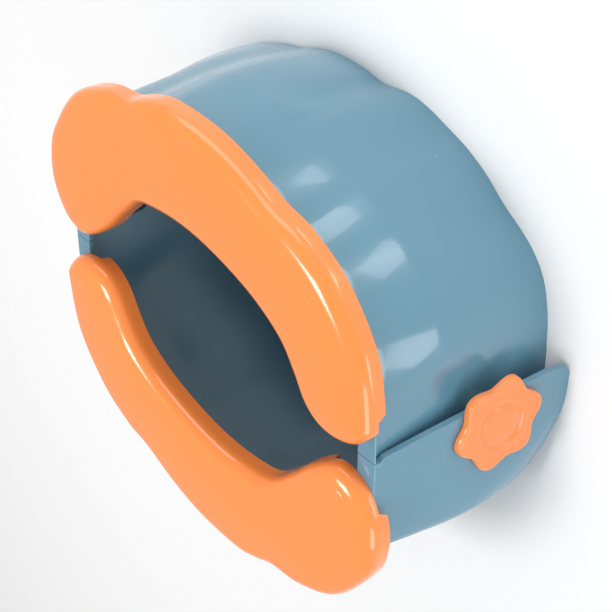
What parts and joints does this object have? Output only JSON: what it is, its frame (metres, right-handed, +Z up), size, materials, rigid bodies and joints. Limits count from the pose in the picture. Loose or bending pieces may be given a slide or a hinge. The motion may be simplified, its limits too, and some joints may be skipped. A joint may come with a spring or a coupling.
{
  "type": "folding travel potty",
  "caption": "Folding travel potty: hinged half shells with a contoured clip-on seat and flower-shaped caps over the pivots, standing open for use.",
  "frame": {"origin": "on the floor at the middle of the base, on the hinge line", "axes": "+X along the hinge line towards the front flower cap, +Y towards the left half, +Z up"},
  "size_m": [0.252, 0.209, 0.113],
  "materials": {
    "shell": "glossy moulded polypropylene, grey-blue",
    "seat": "glossy moulded polypropylene, soft orange",
    "cap": "glossy moulded plastic, soft orange",
    "pin": "acetal, natural",
    "steel": "stainless"
  },
  "bodies": {
    "right_half": {"right_shell": "shell", "right_seat": "seat", "front_flower_cap": "cap", "front_pivot_pin": "pin", "front_thrust_washer": "pin", "front_retaining_washer": "steel", "front_pivot_screw": "steel"},
    "left_half": {"left_shell": "shell", "left_seat": "seat", "rear_flower_cap": "cap", "rear_pivot_pin": "pin", "rear_thrust_washer": "pin", "rear_retaining_washer": "steel", "rear_pivot_screw": "steel"}
  },
  "joints": [
    {"name": "fold", "type": "hinge", "parent": "right_half", "child": "left_half", "pos_m": [0, 0, 0.04], "axis": [-1, 0, 0], "range_deg": [0, 125]}
  ]
}
